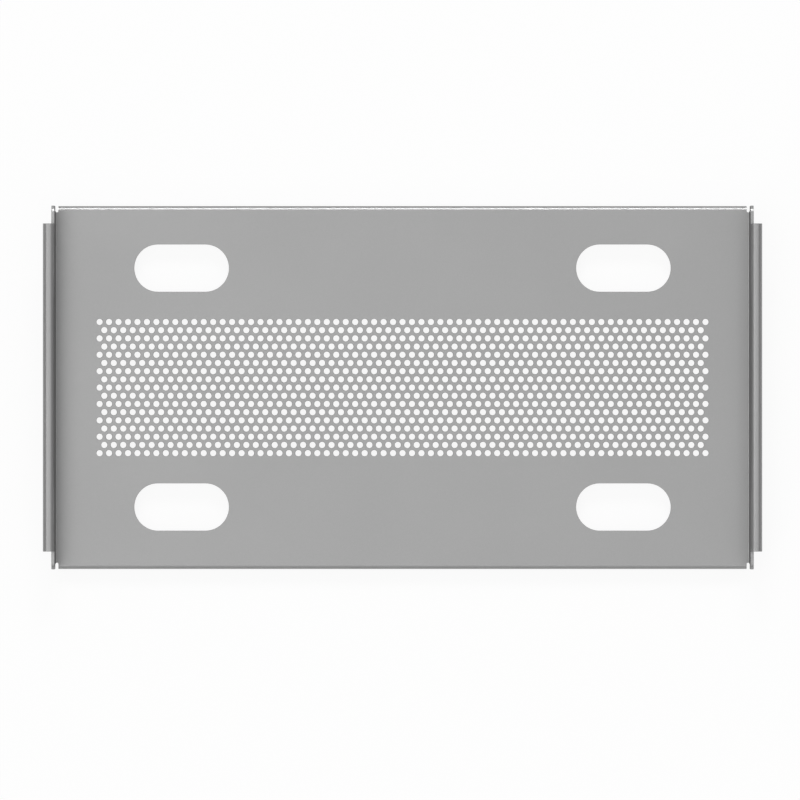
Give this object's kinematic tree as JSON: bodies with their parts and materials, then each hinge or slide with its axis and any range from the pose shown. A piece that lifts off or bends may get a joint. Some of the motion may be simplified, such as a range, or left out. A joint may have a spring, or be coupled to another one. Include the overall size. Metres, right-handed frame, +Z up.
{
  "type": "rack shelf",
  "caption": "Rack shelf one unit high, folded from one perforated sheet: upturned sides with hook-over rails, downturned front and rear edges, strap slots and a field of small vent holes.",
  "frame": {"origin": "midway between the two walls and between front and rear, at the level of the flanges' lower edges", "axes": "+X from the left wall to the right wall, +Y from front to rear, +Z up out of the load face"},
  "size_m": [0.4546, 0.23, 0.04],
  "materials": {
    "silver_paint": "satin silver-grey powder coat"
  },
  "bodies": {
    "root": {"shelf": "silver_paint"}
  },
  "joints": []
}
